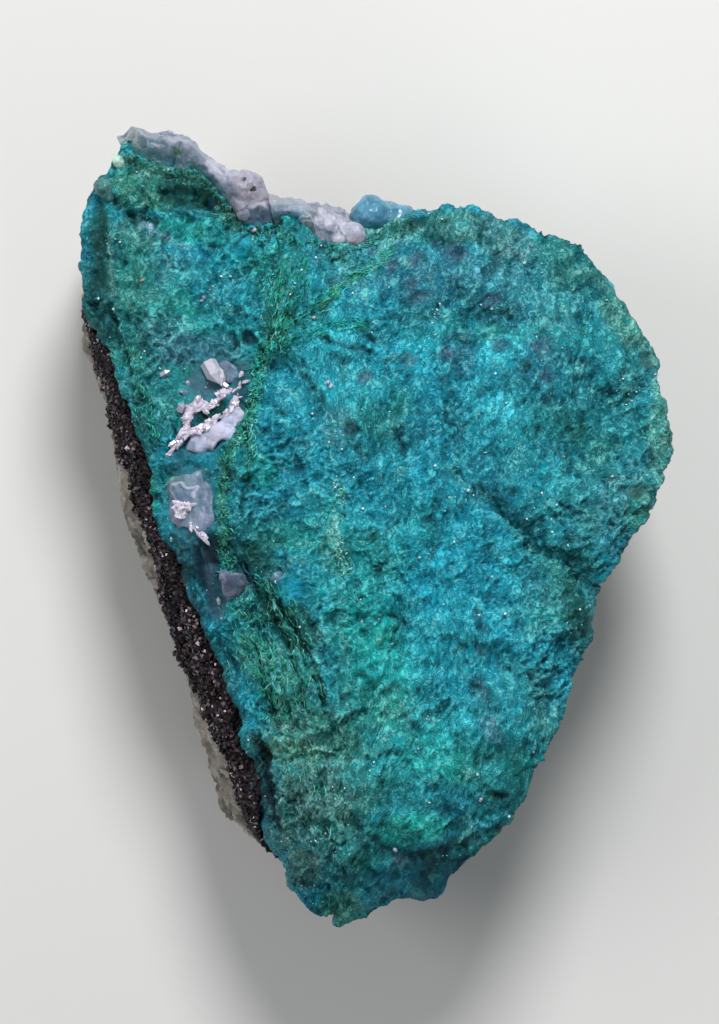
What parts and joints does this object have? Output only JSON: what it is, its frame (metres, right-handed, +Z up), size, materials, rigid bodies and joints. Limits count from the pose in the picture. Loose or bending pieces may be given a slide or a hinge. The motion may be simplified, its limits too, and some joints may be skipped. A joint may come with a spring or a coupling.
{
  "type": "chrysocolla specimen",
  "caption": "Broken lump of blue-green chrysocolla with a pale chalcedony crust on its top edge and dark and grey host rock down one side, lying on its back.",
  "frame": {"origin": "middle of the flat back that the lump rests on", "axes": "+Y towards the pale peak, +X towards the rounded flank, +Z up out of the broken face"},
  "size_m": [0.0601, 0.0802, 0.0272],
  "materials": {
    "chrysocolla": "felted fibrous break in teal, blue and malachite green, with fine glassy sparkles",
    "chalcedony": "translucent milky lilac to pale blue chalcedony, waxy and botryoidal",
    "blue_chalcedony": "glossy sky-blue translucent bulbs",
    "quartz": "clear to white quartz crystals with bright faces",
    "malachite": "silky yellow-green to dark green fibres and moss",
    "dark_crust": "granular purplish black crust with small bright grains",
    "host_rock": "rough matt light grey rock"
  },
  "bodies": {
    "root": {"chrysocolla_specimen": "chrysocolla"}
  },
  "joints": []
}
